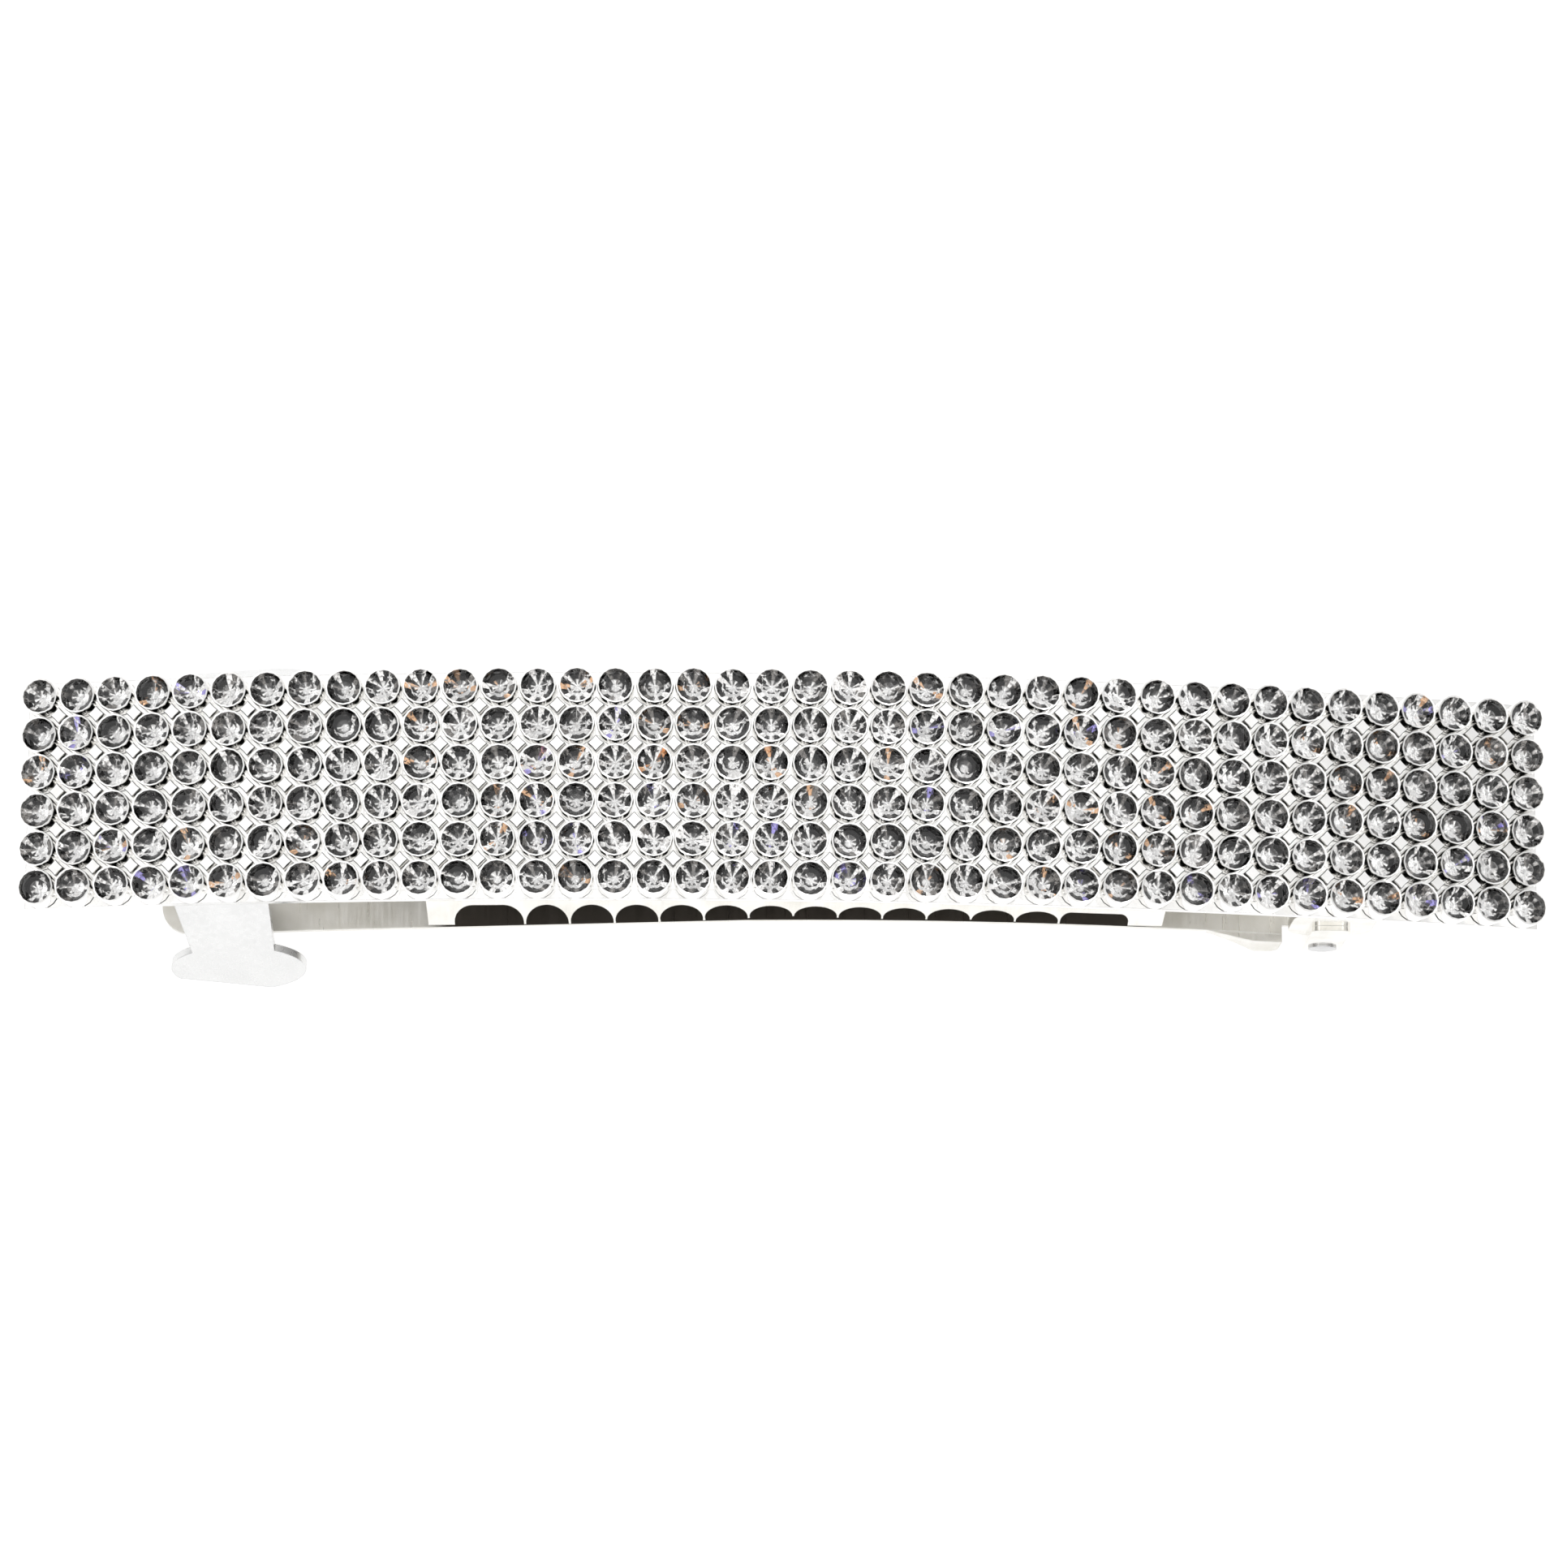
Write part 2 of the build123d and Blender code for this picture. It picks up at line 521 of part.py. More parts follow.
# short foot that the spring turns against, riveted to the base
foot_back = BASE_BACK + BOW_SHEET
with BuildPart() as bow_foot:
    with BuildSketch(section_plane(BOW_PIVOT_X + BOW_ROOT_GAP, foot_back)):
        with Locations((0, BEND_RADIUS - (BASE_BACK + foot_back) / 2)):
            Rectangle(2 * BOW_HALF_WIDTH, BOW_SHEET)
    revolve(axis=BEND_AXIS, revolution_arc=bar_arc(BOW_PIVOT_X + BOW_ROOT_GAP, BOW_RIGHT_X, foot_back))
    with BuildSketch(layer_plane(BOW_RIVET_X, BASE_BACK)):
        Circle(RIVET_RADIUS)
    extrude(amount=-2 * BOW_SHEET, mode=Mode.SUBTRACT)
bow_foot.part.label = "bow_foot"
export_step(bow_foot.part, "parts/bow_foot.step")

# ----------------------------------------------------------------------- catch saddle
hook_outer_y = WINDOW_HALF_WIDTH - LATCH_CLEARANCE - BARB_REACH
hook_inner_y = hook_outer_y - HOOK_SHEET
saddle_back = BASE_BACK + SADDLE_THICKNESS
saddle_left_x = CATCH_X - SADDLE_LENGTH / 2
saddle_right_x = CATCH_X + SADDLE_LENGTH / 2
with BuildPart() as catch_saddle:
    with BuildSketch(section_plane(saddle_left_x, saddle_back)):
        with Locations((0, BEND_RADIUS - (BASE_BACK + saddle_back) / 2)):
            Rectangle(2 * (hook_inner_y - ROLL_CLEARANCE), SADDLE_THICKNESS)
    revolve(axis=BEND_AXIS, revolution_arc=bar_arc(saddle_left_x, saddle_right_x, saddle_back))
    with BuildSketch(layer_plane(CATCH_X, BASE_BACK)):
        Circle(RIVET_RADIUS)
    extrude(amount=-2 * SADDLE_THICKNESS, mode=Mode.SUBTRACT)
catch_saddle.part.label = "catch_saddle"
export_step(catch_saddle.part, "parts/catch_saddle.step")

# ---------------------------------------------------------------------------- rivets
rivets = (("catch_rivet", CATCH_X, saddle_back), ("bow_rivet", BOW_RIVET_X, foot_back))
for name, rivet_x, stack_back in rivets:
    stack_plane = layer_plane(rivet_x, BASE_BACK).offset(BASE_BACK - stack_back)
    with BuildPart() as rivet:
        with BuildSketch(stack_plane.offset(-RIVET_HEAD_THICKNESS)):
            Circle(RIVET_RADIUS)
        extrude(amount=RIVET_HEAD_THICKNESS + stack_back - BASE_FRONT - RIVET_RECESS)
        with BuildSketch(stack_plane.offset(-RIVET_RECESS)):
            Circle(RIVET_HEAD_RADIUS)
        extrude(amount=-RIVET_HEAD_THICKNESS, taper=RIVET_HEAD_TAPER)
    rivet.part.label = name
    export_step(rivet.part, f"parts/{name}.step")

# ----------------------------------------------------------------------- catch wings
# Drawn at the catch, in a frame whose x runs along the bar, y across it and z out of
# the face; the sheet's section is drawn looking along the bar.
catch_frame = layer_plane(CATCH_X, BASE_BACK)
root_height = ROLL_CLEARANCE + WING_ROLL_RADIUS
wing_run = WING_TIP_Y - WING_FOLD_Y
wing_rise = WING_TIP_HEIGHT - WING_FOLD_HEIGHT
wing_lean = atan2(wing_run, wing_rise)
head_reach = sqrt(wing_run**2 + wing_rise**2)
neck_reach = sqrt((WING_FOLD_Y - WING_ROOT_Y) ** 2 + (WING_FOLD_HEIGHT - root_height) ** 2)
wing_section_plane = Plane(origin=catch_frame.origin, x_dir=(0, 1, 0), z_dir=catch_frame.x_dir)
wing_outline_plane = Plane(
    origin=catch_frame.from_local_coords((0, WING_FOLD_Y, -WING_FOLD_HEIGHT)),
    x_dir=catch_frame.x_dir,
    z_dir=catch_frame.z_dir * -sin(wing_lean) - Vector(0, cos(wing_lean), 0),
)
with BuildPart() as wing:
    with BuildSketch(wing_section_plane):
        with BuildLine():
            FilletPolyline(
                (WING_ROOT_Y, -root_height),
                (WING_FOLD_Y, -WING_FOLD_HEIGHT),
                (WING_TIP_Y, -WING_TIP_HEIGHT),
                radius=WING_FOLD_ROUND,
            )
            offset(amount=WING_SHEET, side=Side.RIGHT)
        make_face()
    extrude(amount=WING_HEAD_WIDTH / 2, both=True)
    # mushroom outline: tapering neck and a broad oval head
    with BuildSketch(wing_outline_plane.offset(-THROUGH)):
        with BuildLine():
            Polyline(
                (-WING_ROOT_WIDTH / 2, neck_reach + WING_SHEET),
                (-WING_NECK_WIDTH / 2, 0),
                (-WING_NECK_WIDTH / 2, -head_reach / 2),
                (WING_NECK_WIDTH / 2, -head_reach / 2),
                (WING_NECK_WIDTH / 2, 0),
                (WING_ROOT_WIDTH / 2, neck_reach + WING_SHEET),
                close=True,
            )
        make_face()
        with Locations((0, WING_HEAD_HEIGHT / 2 - head_reach)):
            Ellipse(WING_HEAD_WIDTH / 2, WING_HEAD_HEIGHT / 2)
    extrude(amount=2 * THROUGH, mode=Mode.INTERSECT)
    # rolled root
    with BuildSketch(wing_section_plane):
        with Locations((WING_ROOT_Y, -root_height)):
            Circle(WING_ROLL_RADIUS)
    extrude(amount=WING_ROOT_WIDTH / 2, both=True)
    # the head's edge is flat where the clip rests on it
    split(bisect_by=Plane.XY, keep=Keep.TOP)

# barbed hook, tacked to the rolled root, that stands through the arm's window
with BuildPart() as hook:
    with BuildSketch(wing_section_plane):
        with Locations((hook_inner_y, -HOOK_HEIGHT)):
            Rectangle(HOOK_SHEET, HOOK_HEIGHT - root_height, align=Align.MIN)
            Rectangle(HOOK_SHEET + BARB_REACH, BARB_THICKNESS, align=Align.MIN)
    extrude(amount=HOOK_WIDTH / 2, both=True)
    add(wing.part, mode=Mode.SUBTRACT)
    split(bisect_by=Plane.XY, keep=Keep.TOP)

for name, rear_piece in (("catch_wing", wing.part), ("catch_hook", hook.part)):
    with BuildPart() as front_piece:
        add(rear_piece)
        mirror(about=Plane.XZ, mode=Mode.REPLACE)
    rear_piece.label = f"{name}_rear"
    export_step(rear_piece, f"parts/{name}_rear.step")
    front_piece.part.label = f"{name}_front"
    export_step(front_piece.part, f"parts/{name}_front.step")
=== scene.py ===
"""Looks of a rhinestone hair clip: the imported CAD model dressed, lit and framed.

The jewelled face is rebuilt here as finely cut stones in rolled bezels. The clasp keeps
its CAD shapes and is given plated, sprung and peened metal finishes. All lengths are in
metres, in the frame of the CAD model: X along the bar, Y across it, +Z out of the face.
"""

import logging
import math
from dataclasses import dataclass, field
from enum import Enum

import bpy
import numpy as np
from mathutils import Matrix, Vector


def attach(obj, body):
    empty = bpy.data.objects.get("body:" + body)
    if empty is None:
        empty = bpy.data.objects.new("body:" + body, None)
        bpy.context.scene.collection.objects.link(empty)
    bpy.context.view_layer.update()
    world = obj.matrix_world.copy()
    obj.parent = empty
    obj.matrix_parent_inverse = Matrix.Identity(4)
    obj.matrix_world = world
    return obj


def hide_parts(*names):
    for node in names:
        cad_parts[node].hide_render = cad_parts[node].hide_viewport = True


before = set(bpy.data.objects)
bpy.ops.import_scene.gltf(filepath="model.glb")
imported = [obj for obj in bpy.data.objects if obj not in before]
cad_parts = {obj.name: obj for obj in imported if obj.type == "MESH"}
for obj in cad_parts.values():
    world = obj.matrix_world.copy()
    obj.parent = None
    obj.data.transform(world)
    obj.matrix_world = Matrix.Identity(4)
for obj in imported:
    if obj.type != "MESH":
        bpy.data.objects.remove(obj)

log = logging.getLogger("hair_clip")
MM = 0.001
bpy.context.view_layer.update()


# ------------------------------------------------------------------ mesh and node help


def mesh_object(
    name: str,
    points: np.ndarray,
    faces: list[tuple[int, ...]],
    slots: np.ndarray | None = None,
    smooth: bool = False,
) -> bpy.types.Object:
    """Make an object at the origin from points and faces.

    Args:
        name: Name of the object and its mesh.
        points: Vertex places in metres, one row each.
        faces: Vertex numbers of each face, counter-clockwise seen from outside.
        slots: Material slot of each face, or None for the first slot throughout.
        smooth: Whether the faces are shaded smooth.

    Returns:
        The new object, linked to the scene.
    """
    mesh = bpy.data.meshes.new(name)
    mesh.from_pydata(points.tolist(), [], faces)
    if slots is not None:
        mesh.polygons.foreach_set("material_index", slots.astype(np.int32))
    mesh.polygons.foreach_set("use_smooth", np.full(len(mesh.polygons), smooth))
    mesh.update()
    made = bpy.data.objects.new(name, mesh)
    bpy.context.collection.objects.link(made)
    return made


def grid_faces(rows: int, columns: int, first: int = 0) -> np.ndarray:
    """Quads of a grid that closes on itself along its columns.

    Face (i, j) joins points (i, j), (i, j+1), (i+1, j+1) and (i+1, j), where j wraps.

    Args:
        rows: Rings of points.
        columns: Points in each ring.
        first: Number of the first point.

    Returns:
        One row of four vertex numbers for each quad.
    """
    ring, place = np.meshgrid(np.arange(rows - 1), np.arange(columns), indexing="ij")
    after = (place + 1) % columns
    near, far = ring * columns, (ring + 1) * columns
    quads = [near + place, near + after, far + after, far + place]
    return np.stack(quads, axis=-1).reshape(-1, 4) + first


def repeated(
    points: np.ndarray, faces: list[tuple[int, ...]], places: np.ndarray
) -> tuple[np.ndarray, list[tuple[int, ...]]]:
    """Copy one small shape to many places.

    Args:
        points: The shape's own points, one row each.
        faces: The shape's faces.
        places: One 4x4 matrix for each copy.

    Returns:
        All the copies' points, and all their faces.
    """
    moved = np.einsum("kij,pj->kpi", places[:, :3, :3], points) + places[:, None, :3, 3]
    count = len(points)
    copies = [tuple(number + k * count for number in face) for k in range(len(places)) for face in faces]
    return moved.reshape(-1, 3), copies


def turns(axis: int, angles: np.ndarray) -> np.ndarray:
    """Rotation matrices about one coordinate axis.

    Args:
        axis: 0, 1 or 2 for X, Y or Z.
        angles: One angle in radians for each matrix.

    Returns:
        One 4x4 matrix for each angle.
    """
    made = np.tile(np.eye(4), (len(angles), 1, 1))
    one, two = (axis + 1) % 3, (axis + 2) % 3
    made[:, one, one] = np.cos(angles)
    made[:, one, two] = -np.sin(angles)
    made[:, two, one] = np.sin(angles)
    made[:, two, two] = np.cos(angles)
    return made


class NodeBench:
    """A material with its node tree, and short ways to add and join nodes."""

    def __init__(self, name: str) -> None:
        """Start a material whose only node so far is its Principled shader."""
        self.material = bpy.data.materials.new(name)
        self.material.use_nodes = True
        self.tree = self.material.node_tree
        self.shader = self.tree.nodes["Principled BSDF"]

    def add(self, kind: str, **values: object) -> bpy.types.Node:
        """Add a node.

        Args:
            kind: Type name of the node without its ShaderNode prefix.
            **values: Values of its sockets, by name with underscores for spaces.

        Returns:
            The new node.
        """
        node = self.tree.nodes.new("ShaderNode" + kind)
        for socket, value in values.items():
            node.inputs[socket.replace("_", " ")].default_value = value
        return node

    def join(self, source: bpy.types.NodeSocket, target: bpy.types.NodeSocket) -> None:
        """Link one socket to another."""
        self.tree.links.new(source, target)

    def object_place(self) -> bpy.types.NodeSocket:
        """Give the socket that holds the place on the piece, in metres."""
        return self.add("TexCoord").outputs["Object"]

    def noise(
        self, size: float, detail: float = 3.0, stretch: tuple[float, float, float] = (1, 1, 1)
    ) -> bpy.types.NodeSocket:
        """Add smooth noise on the piece.

        Args:
            size: Width of the noise's patches in metres.
            detail: Octaves of finer noise.
            stretch: How many times finer the noise is along X, Y and Z.

        Returns:
            The noise's grey value, from 0 to 1.
        """
        mapping = self.add("Mapping", Scale=stretch)
        self.join(self.object_place(), mapping.inputs["Vector"])
        texture = self.add("TexNoise", Scale=1 / size, Detail=detail)
        self.join(mapping.outputs["Vector"], texture.inputs["Vector"])
        return texture.outputs["Fac"]

    def ramp(
        self, value: bpy.types.NodeSocket, *stops: tuple[float, tuple[float, float, float]]
    ) -> bpy.types.NodeSocket:
        """Turn a grey value into a colour.

        Args:
            value: The grey value.
            *stops: Place and colour of each stop, in order.

        Returns:
            The colour.
        """
        node = self.add("ValToRGB")
        elements = node.color_ramp.elements
        while len(elements) < len(stops):
            elements.new(0.5)
        for element, (place, colour) in zip(elements, stops):
            element.position = place
            element.color = (*colour, 1)
        self.join(value, node.inputs["Fac"])
        return node.outputs["Color"]

    def span(
        self, value: bpy.types.NodeSocket, low: float, high: float, first: float = 0.3, last: float = 0.7
    ) -> bpy.types.NodeSocket:
        """Stretch part of a value over a range, and hold it at the ends.

        Args:
            value: The value; a noise is busiest between 0.3 and 0.7.
            low: Result at the first value.
            high: Result at the last value.
            first: Value where the stretch starts.
            last: Value where the stretch ends.

        Returns:
            The stretched value.
        """
        node = self.add("MapRange", From_Min=first, From_Max=last, To_Min=low, To_Max=high)
        self.join(value, node.inputs["Value"])
        return node.outputs["Result"]

    def multiplied(
        self,
        one: bpy.types.NodeSocket,
        other: bpy.types.NodeSocket,
        share: bpy.types.NodeSocket | None = None,
    ) -> bpy.types.NodeSocket:
        """Multiply two colours.

        Args:
            one: The first colour.
            other: The second colour.
            share: How far the second colour counts, or None for fully.

        Returns:
            The product.
        """
        blend = self.add("Mix")
        blend.data_type = "RGBA"
        blend.blend_type = "MULTIPLY"
        if share is None:
            blend.inputs["Factor"].default_value = 1.0
        else:
            self.join(share, blend.inputs["Factor"])
        self.join(one, blend.inputs[6])
        self.join(other, blend.inputs[7])
        return blend.outputs[2]

    def bump(self, height: bpy.types.NodeSocket, depth: float, rounding: float = 0.0) -> None:
        """Dent the surface by a grey value.

        Args:
            height: The grey value.
            depth: Height of the dents in metres.
            rounding: Radius over which sheet edges look rounded, in metres.
        """
        node = self.add("Bump", Strength=1.0, Distance=depth)
        self.join(height, node.inputs["Height"])
        if rounding:
            edge = self.add("Bevel", Radius=rounding)
            self.join(edge.outputs["Normal"], node.inputs["Normal"])
        self.join(node.outputs["Normal"], self.shader.inputs["Normal"])


# -------------------------------------------------------------------------- finishes


class Metal(Enum):
    """Metals of the clip, with the light and dark tones of each."""

    SILVER_PLATE = ((0.93, 0.925, 0.915), (0.80, 0.79, 0.77))
    BRIGHT_NICKEL = ((0.90, 0.885, 0.845), (0.74, 0.72, 0.66))
    SATIN_NICKEL = ((0.80, 0.80, 0.795), (0.76, 0.76, 0.755))
    SPRING_STEEL = ((0.66, 0.66, 0.66), (0.46, 0.46, 0.47))


@dataclass(frozen=True)
class PlatedSheet:
    """Plated or bare sheet metal: soft waviness, handling haze and fine rubbed lines."""

    metal: Metal
    roughness: tuple[float, float] = (0.04, 0.14)
    wave_size: float = 3.5 * MM
    wave_depth: float = 0.006 * MM
    grain: tuple[float, float, float] = (1, 1, 1)
    rounding: float = 0.08 * MM
    metallic: float = 1.0
    shaded_span: tuple[float, float] | None = None
    shade: tuple[float, float, float] = (0.07, 0.062, 0.055)

    def material(self, name: str) -> bpy.types.Material:
        """Make the finish's material.

        Args:
            name: Name of the material.

        Returns:
            The material.
        """
        bench = NodeBench(name)
        light, dark = self.metal.value
        haze = bench.noise(2.2 * MM, 5.0)
        plated = self.shaded(bench, bench.ramp(haze, (0.25, dark), (0.62, light)))
        bench.join(plated, bench.shader.inputs["Base Color"])
        rubbed = bench.noise(0.35 * MM, 4.0, self.grain)
        bench.join(bench.span(rubbed, *self.roughness), bench.shader.inputs["Roughness"])
        bench.shader.inputs["Metallic"].default_value = self.metallic
        bench.bump(bench.noise(self.wave_size, 2.0), self.wave_depth, self.rounding)
        return bench.material

    def shaded(self, bench: NodeBench, colour: bpy.types.NodeSocket) -> bpy.types.NodeSocket:
        """Paint the upward face dark over a span of X, in place of the gutter's own shade.

        The paint stays on the metal when the piece moves out from under the gutter.

        Args:
            bench: The material being made.
            colour: The clean metal's colour.

        Returns:
            The painted colour, or the clean colour if the finish has no shaded span.
        """
        if self.shaded_span is None:
            return colour
        place, facing = bench.add("SeparateXYZ"), bench.add("SeparateXYZ")
        bench.join(bench.object_place(), place.inputs["Vector"])
        bench.join(bench.add("TexCoord").outputs["Normal"], facing.inputs["Vector"])
        reach, fade, clean = 30 * MM, 0.02, (1.0, 1.0, 1.0)
        along = bench.span(place.outputs["X"], 0.0, 1.0, -reach, reach)
        first, last = ((end + reach) / (2 * reach) for end in self.shaded_span)
        stops = ((first, clean), (first + fade, self.shade), (last - fade, self.shade), (last, clean))
        upwards = bench.span(facing.outputs["Z"], 0.0, 1.0, 0.2, 0.6)
        return bench.multiplied(colour, bench.ramp(along, *stops), upwards)


@dataclass(frozen=True)
class CutCrystal:
    """Clear, faintly smoky glass of the stones' crowns."""

    tint: tuple[float, float, float] = (0.97, 0.965, 0.96)
    index: float = 1.56

    def material(self, name: str) -> bpy.types.Material:
        """Make the glass.

        Args:
            name: Name of the material.

        Returns:
            The material.
        """
        bench = NodeBench(name)
        shade = bench.noise(2.4 * MM, 1.0)
        dark = tuple(0.90 * channel for channel in self.tint)
        bench.join(bench.ramp(shade, (0.35, dark), (0.6, self.tint)), bench.shader.inputs["Base Color"])
        polish = bench.noise(0.5 * MM, 2.0)
        bench.join(bench.span(polish, 0.0, 0.02), bench.shader.inputs["Roughness"])
        bench.shader.inputs["Transmission Weight"].default_value = 1.0
        bench.shader.inputs["IOR"].default_value = self.index
        return bench.material


@dataclass(frozen=True)
class StoneFoil:
    """Mirror foil behind a stone, its colour painted per facet with dark and bright reflections and amber and
    violet glints, over fine patches of wear.
    """

    # Face attribute that holds each facet's painted reflection tone.
    facet_painted_reflection: str = "facet_painted_reflection"
    worn: tuple[float, float, float] = (0.80, 0.79, 0.78)

    def material(self, name: str) -> bpy.types.Material:
        """Make the foil.

        Args:
            name: Name of the material.

        Returns:
            The material.
        """
        bench = NodeBench(name)
        # Painted reflection tone of each facet: black, grey, white, amber or violet.
        tint = bench.add("Attribute")
        tint.attribute_name = self.facet_painted_reflection
        wear = bench.ramp(bench.noise(0.25 * MM, 3.0), (0.3, self.worn), (0.5, (1.0, 1.0, 1.0)))
        # Painted reflections, times the foil's real wear.
        painted_reflections_and_wear = bench.multiplied(tint.outputs["Color"], wear)
        bench.join(painted_reflections_and_wear, bench.shader.inputs["Base Color"])
        bench.join(bench.span(bench.noise(0.3 * MM), 0.10, 0.20), bench.shader.inputs["Roughness"])
        bench.shader.inputs["Metallic"].default_value = 1.0
        return bench.material


@dataclass(frozen=True)
class CuredGlue:
    """Clear set adhesive: glossy, slightly yellow, with a rippled skin."""

    pale: tuple[float, float, float] = (0.86, 0.84, 0.76)
    deep: tuple[float, float, float] = (0.72, 0.68, 0.56)

    def material(self, name: str) -> bpy.types.Material:
        """Make the adhesive.

        Args:
            name: Name of the material.

        Returns:
            The material.
        """
        bench = NodeBench(name)
        flow = bench.noise(1.6 * MM, 4.0)
        bench.join(bench.ramp(flow, (0.3, self.deep), (0.7, self.pale)), bench.shader.inputs["Base Color"])
        bench.join(bench.span(flow, 0.12, 0.35), bench.shader.inputs["Roughness"])
        bench.shader.inputs["Subsurface Weight"].default_value = 0.2
        bench.shader.inputs["Subsurface Scale"].default_value = 0.3 * MM
        bench.bump(bench.noise(0.8 * MM, 4.0), 0.05 * MM)
        return bench.material


# ---------------------------------------------------------------------- jewelled face


@dataclass
class StoneField:
    """The grid of settings on the bent bar."""

    rows: int = 6
    columns: int = 40
    pitch: float = 2.3 * MM
    bend_radius: float = 176.0 * MM
    wander: float = 0.015 * MM
    tilt: float = math.radians(0.5)
    golden_turn: float = math.radians(137.50776)
    crest: float = 15.3 * MM

    def seats(self, row: int) -> np.ndarray:
        """Places of one row's settings, each on the table plane with its face along +Z.

        A setting stands at arc length s from the crest, so its angle is s over the bend
        radius; it is then shifted and leaned a little by sines of its number.

        Args:
            row: Row number, from the back edge.

        Returns:
            One 4x4 matrix for each setting.
        """
        column = np.arange(self.columns)
        number = column + self.columns * row
        angle = (column - (self.columns - 1) / 2) * self.pitch / self.bend_radius
        across = ((self.rows - 1) / 2 - row) * self.pitch + self.wander * np.sin(number * 3.7 + 1)
        along = self.wander * np.sin(number * 2.4)
        places = turns(1, angle)
        places[:, 0, 3] = self.bend_radius * np.sin(angle) + along * np.cos(angle)
        places[:, 1, 3] = across
        places[:, 2, 3] = self.crest - self.bend_radius * (1 - np.cos(angle)) - along * np.sin(angle)
        leans = turns(0, self.tilt * np.sin(number * 1.9)) @ turns(1, self.tilt * np.sin(number * 2.9 + 2))
        return places @ leans

    def gaps(self) -> np.ndarray:
        """Places of the posts, each midway between four settings.

        Returns:
            One 4x4 matrix for each post.
        """
        between = (np.arange(1, self.columns) - self.columns / 2) * self.pitch / self.bend_radius
        across = (np.arange(1, self.rows) - self.rows / 2) * self.pitch
        angle, side = (values.ravel() for values in np.meshgrid(between, across, indexing="ij"))
        places = turns(1, angle)
        places[:, 0, 3] = self.bend_radius * np.sin(angle)
        places[:, 1, 3] = side
        places[:, 2, 3] = self.crest - self.bend_radius * (1 - np.cos(angle))
        return places

    def clocked_seats(self, row: int) -> np.ndarray:
        """Places of one row's stones: the settings, turned to each stone's clocking."""
        number = np.arange(self.columns) + self.columns * row
        return self.seats(row) @ turns(2, number * self.golden_turn % math.radians(45))


class PaintedFacetReflection(Enum):
    """Painted reflections: tones painted on the foil behind a facet in place of its dark or bright reflection
    or a coloured glint, with their shares of the dark and the light facets.
    """

    DARK = ((0.006, 0.005, 0.005), 0.82, 0.24)
    SMOKE = ((0.22, 0.21, 0.20), 0.08, 0.14)
    BRIGHT = ((1.0, 0.995, 0.99), 0.08, 0.60)
    AMBER = ((0.80, 0.50, 0.30), 0.014, 0.013)
    VIOLET = ((0.40, 0.36, 0.80), 0.006, 0.007)


@dataclass
class Chaton:
    """One cut stone: table, star, kite and half facets over a foiled pavilion."""

    girdle_radius: float = 1.02 * MM
    table_radius: float = 0.60 * MM
    kite_radius: float = 0.83 * MM
    pavilion_radius: float = 0.42 * MM
    crown_height: float = 0.36 * MM
    kite_drop: float = 0.175 * MM
    pavilion_drop: float = 0.57 * MM
    stone_height: float = 1.255 * MM
    # Painted light: pale grey of the heart facets, in place of the bright centre seen through the table.
    heart_painted_light: tuple[float, float] = (0.70, 1.0)

    def surface(self) -> tuple[np.ndarray, list[tuple[int, ...]], np.ndarray]:
        """Work out the stone's facets.

        Its points lie on rings: eight at the table, eight on the kites half a step round,
        sixteen at the girdle, sixteen on the pavilion, and the culet.

        Returns:
            The points, the facets, and each facet's kind: 0 crown, 1 outer foil, 2 heart.
        """
        step = math.tau / 8
        rings = (
            (8, self.table_radius, 0.0, 0.5),
            (8, self.kite_radius, -self.kite_drop, 0.0),
            (16, self.girdle_radius, -self.crown_height, 0.0),
            (16, self.pavilion_radius, -self.crown_height - self.pavilion_drop, 0.0),
            (1, 0.0, -self.stone_height, 0.0),
        )
        points = []
        for count, radius, height, offset in rings:
            angle = np.arange(count) * math.tau / count + offset * step
            level = np.full(count, height)
            points.append(np.stack([radius * np.cos(angle), radius * np.sin(angle), level], axis=1))
        table, kite, girdle, pavilion, culet = 0, 8, 16, 32, 48
        crown: list[tuple[int, ...]] = [tuple(range(8))]
        for k in range(8):
            after, before = (k + 1) % 8, (k - 1) % 8
            main, half, half_before = girdle + 2 * k, girdle + 2 * k + 1, girdle + (2 * k - 1) % 16
            crown.append((table + before, kite + k, table + k))
            crown.append((table + k, kite + k, half, kite + after))
            crown.append((kite + k, main, half))
            crown.append((kite + k, half_before, main))
        outer = [
            (girdle + (k + 1) % 16, girdle + k, pavilion + k, pavilion + (k + 1) % 16) for k in range(16)
        ]
        heart = [(pavilion + (k + 1) % 16, pavilion + k, culet) for k in range(16)]
        kinds = np.repeat([0, 1, 2], [len(crown), len(outer), len(heart)])
        return np.concatenate(points), crown + outer + heart, kinds

    def painted_reflection_tones(self, kinds: np.ndarray, seed: int) -> np.ndarray:
        """Draw the painted reflection on the foil behind each facet: dark and light ones take turns.

        Args:
            kinds: Kind of each facet of every stone of a row.
            seed: Number that fixes the draw.

        Returns:
            One colour with alpha for each facet.
        """
        draw = np.random.default_rng(seed)
        tones = np.array([tone.value[0] for tone in PaintedFacetReflection])
        shares = np.array([tone.value[1:] for tone in PaintedFacetReflection])
        dark, light = (draw.choice(len(tones), len(kinds), p=part / part.sum()) for part in shares.T)
        colours = tones[np.where(np.arange(len(kinds)) % 2 == 0, dark, light)]
        # Heart facets get a painted pale light instead of a reflection tone.
        grey = draw.uniform(*self.heart_painted_light, len(kinds))[:, None]
        colours = np.where(kinds[:, None] == 2, grey, colours)
        return np.concatenate([colours, np.ones((len(kinds), 1))], axis=1)


